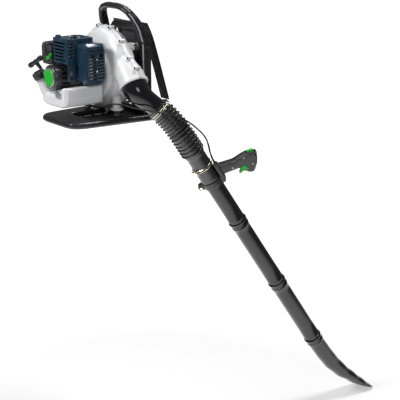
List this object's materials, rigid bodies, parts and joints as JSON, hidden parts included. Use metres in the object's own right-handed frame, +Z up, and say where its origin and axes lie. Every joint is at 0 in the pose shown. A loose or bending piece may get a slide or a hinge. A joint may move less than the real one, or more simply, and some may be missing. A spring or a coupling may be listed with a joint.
{
  "type": "backpack leaf blower",
  "caption": "Backpack petrol leaf blower: padded frame, two-stroke engine, scroll fan housing, ribbed hose and jointed blow tube with throttle grip.",
  "frame": {"origin": "middle of the back pad's flat face, where the wearer's back carries the blower", "axes": "+Y the way the wearer faces, out of the back pad; +X the wearer's right, the blow tube's side; +Z up"},
  "size_m": [0.6937, 1.4382, 1.8346],
  "materials": {
    "black_plastic": "fine moulded texture",
    "gloss_black": "gloss",
    "tube_plastic": "satin",
    "hose": "matt",
    "white_plastic": "satin",
    "blue_plastic": "gloss",
    "green_plastic": "satin",
    "tank_plastic": "milky satin",
    "cast_aluminium": "as cast",
    "steel": "machined",
    "zinc": "yellow-grey zinc plating",
    "black_rubber": "matt",
    "webbing": "woven",
    "padding": "knitted cover on foam",
    "clear_rubber": "translucent"
  },
  "bodies": {
    "blower": {"base_skid": "black_plastic", "back_frame": "black_plastic", "carry_handle": "black_plastic", "back_pad": "padding", "shoulder_strap_right": "padding", "shoulder_strap_left": "padding", "strap_webbing_right": "webbing", "strap_webbing_left": "webbing", "isolator_lower_right": "black_rubber", "isolator_lower_left": "black_rubber", "isolator_upper_right": "black_rubber", "isolator_upper_left": "black_rubber", "volute_engine_half": "white_plastic", "volute_frame_half": "white_plastic", "inlet_grille": "black_plastic", "crankcase": "cast_aluminium", "cylinder": "cast_aluminium", "spark_plug_cap": "black_rubber", "cylinder_cover": "blue_plastic", "muffler": "steel", "muffler_cover": "blue_plastic", "intake_boot": "black_rubber", "carburettor": "cast_aluminium", "air_filter_base": "black_plastic", "air_filter_element": "padding", "starter_housing": "black_plastic", "starter_disc": "green_plastic", "fuel_tank": "tank_plastic", "fuel_line": "black_rubber", "tank_bracket": "cast_aluminium", "outlet_elbow": "gloss_black", "hose_clamp_upper": "zinc", "hose_upper": "hose", "control_cable_root": "black_rubber", "control_cable_upper": "black_rubber"},
    "rotor": {"crankshaft": "steel", "flywheel": "cast_aluminium", "impeller": "black_plastic"},
    "pulley": {"starter_pulley": "white_plastic"},
    "pull_handle": {"starter_handle": "black_plastic", "starter_rope": "webbing"},
    "choke": {"choke_lever": "green_plastic"},
    "throttle_arm": {"throttle_arm": "zinc"},
    "primer": {"primer_bulb": "clear_rubber"},
    "cap": {"fuel_cap": "black_plastic"},
    "filter_cover": {"air_filter_cover": "black_plastic"},
    "hose_middle": {"hose_middle": "hose"},
    "wand": {"hose_lower": "hose", "hose_clamp_lower": "zinc", "tube_upper": "tube_plastic", "handle_collar": "black_plastic", "collar_bolt": "zinc", "grip_outer_half": "black_plastic", "grip_inner_half": "black_plastic", "control_cable_lower": "black_rubber"},
    "trigger": {"throttle_trigger": "green_plastic"},
    "thumb_lever": {"thumb_lever": "green_plastic"},
    "tube_middle": {"tube_middle": "tube_plastic"},
    "tube_lower": {"tube_lower": "tube_plastic"},
    "nozzle": {"nozzle": "tube_plastic"}
  },
  "joints": [
    {"name": "crank_spin", "type": "hinge", "parent": "blower", "child": "rotor", "pos_m": [0, -0.2063, -0.02], "axis": [0, 1, 0], "continuous": true},
    {"name": "starter_pull", "type": "slide", "parent": "blower", "child": "pull_handle", "axis": [-0.3794, -0.4493, 0.8088], "range_m": [0, 0.6], "stiffness_N_per_m": 8, "springref_m": -0.6, "deforming": ["starter_rope"]},
    {"name": "pulley_turn", "type": "hinge", "parent": "blower", "child": "pulley", "pos_m": [0, -0.3853, -0.02], "axis": [0, 1, 0], "range_deg": [0, 1100]},
    {"name": "choke_turn", "type": "hinge", "parent": "blower", "child": "choke", "pos_m": [-0.084, -0.3563, 0.042], "axis": [0, 1, 0], "range_deg": [0, 40]},
    {"name": "throttle_arm_turn", "type": "hinge", "parent": "blower", "child": "throttle_arm", "pos_m": [-0.077, -0.2823, 0.09], "axis": [0, 0, -1], "range_deg": [0, 56]},
    {"name": "primer_press", "type": "slide", "parent": "blower", "child": "primer", "axis": [0, 0, 1], "range_m": [0, 0.004], "stiffness_N_per_m": 600},
    {"name": "cap_turn", "type": "hinge", "parent": "blower", "child": "cap", "pos_m": [-0.074, -0.4043, -0.021], "axis": [-0.1, -0.47, 0.877], "range_deg": [0, 270]},
    {"name": "filter_cover_pull", "type": "slide", "parent": "blower", "child": "filter_cover", "axis": [-1, 0, 0], "range_m": [0, 0.05]},
    {"name": "hose_swing", "type": "hinge", "parent": "blower", "child": "hose_middle", "pos_m": [0.27992, -0.02635, -0.1949], "axis": [0, 0, 1], "range_deg": [-20, 20], "stiffness_Nm_per_rad": 20, "deforming": ["hose_upper", "control_cable_upper"]},
    {"name": "hose_lift", "type": "hinge", "parent": "hose_middle", "child": "wand", "pos_m": [0.3155, 0.025, -0.28364], "axis": [0.9864, -0.1641, 0], "range_deg": [-15, 30], "stiffness_Nm_per_rad": 30, "springref_deg": 14.32, "deforming": ["hose_lower", "control_cable_lower"]},
    {"name": "trigger_pull", "type": "hinge", "parent": "wand", "child": "trigger", "pos_m": [0.43493, 0.22099, -0.38125], "axis": [-0.7503, 0.5889, 0.3004], "range_deg": [0, 20], "stiffness_Nm_per_rad": 0.15, "springref_deg": -20.05},
    {"name": "thumb_rock", "type": "hinge", "parent": "wand", "child": "thumb_lever", "pos_m": [0.46163, 0.22804, -0.32836], "axis": [0.7503, -0.5889, -0.3004], "range_deg": [-8, 8]},
    {"name": "tube_middle_twist", "type": "hinge", "parent": "wand", "child": "tube_middle", "pos_m": [0.323, 0.0487, -0.323], "axis": [0.09, 0.5411, -0.8361], "range_deg": [0, 25]},
    {"name": "tube_lower_twist", "type": "hinge", "parent": "tube_middle", "child": "tube_lower", "pos_m": [0.323, 0.0487, -0.323], "axis": [0.09, 0.5411, -0.8361], "range_deg": [0, 25]},
    {"name": "nozzle_twist", "type": "hinge", "parent": "tube_lower", "child": "nozzle", "pos_m": [0.323, 0.0487, -0.323], "axis": [0.09, 0.5411, -0.8361], "range_deg": [0, 25]}
  ],
  "couplings": [
    {"joint": "pulley_turn", "follows": "starter_pull", "rad_per_m": 31.746},
    {"joint": "throttle_arm_turn", "follows": "trigger_pull", "ratio": 2.75}
  ]
}
